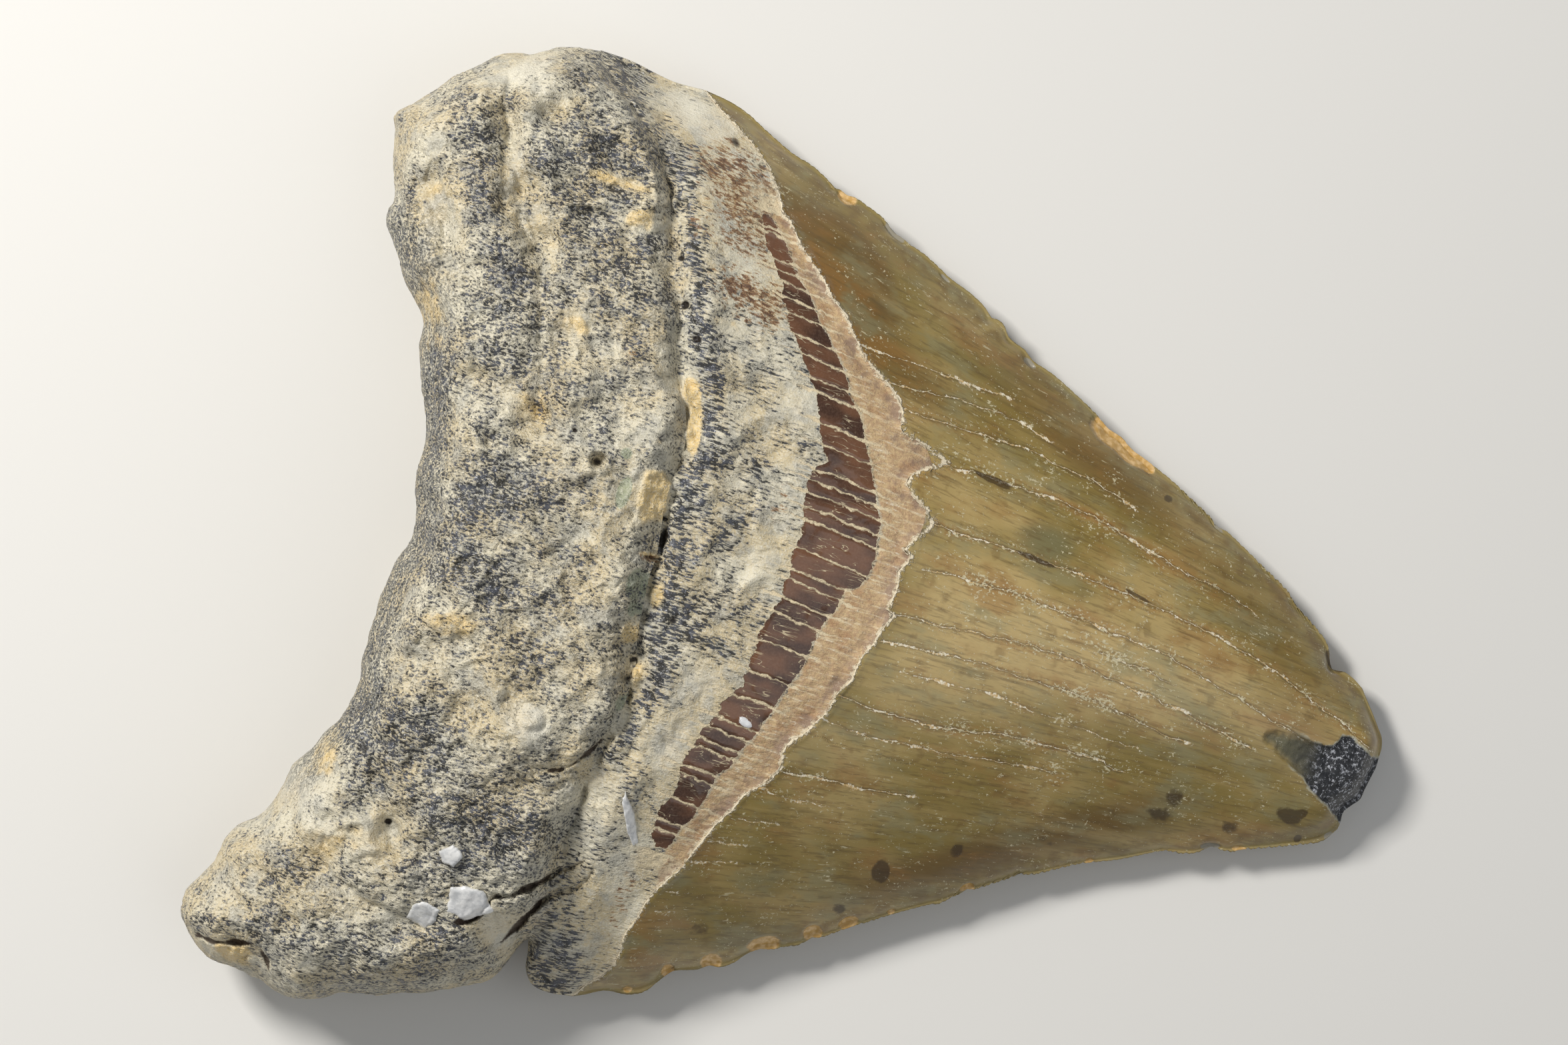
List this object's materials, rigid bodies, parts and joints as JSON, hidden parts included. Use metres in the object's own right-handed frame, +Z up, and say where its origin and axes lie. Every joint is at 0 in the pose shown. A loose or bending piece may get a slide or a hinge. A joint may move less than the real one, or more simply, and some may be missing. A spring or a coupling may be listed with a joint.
{
  "type": "fossil megalodon tooth",
  "caption": "Large fossil shark tooth lying flat: broad triangular enamelled crown with fine serrated edges and a thick, porous two-lobed root.",
  "frame": {"origin": "centre of the tooth's box, at the surface that it lies on", "axes": "+X along the tooth from the root to the tip, +Y across it towards the lobe with no notch, +Z up through the bulging inner face"},
  "size_m": [0.1184, 0.1042, 0.0276],
  "materials": {
    "fossil_tooth": "semi-gloss enamel crown, matt porous root"
  },
  "bodies": {
    "root": {"tooth": "fossil_tooth"}
  },
  "joints": []
}
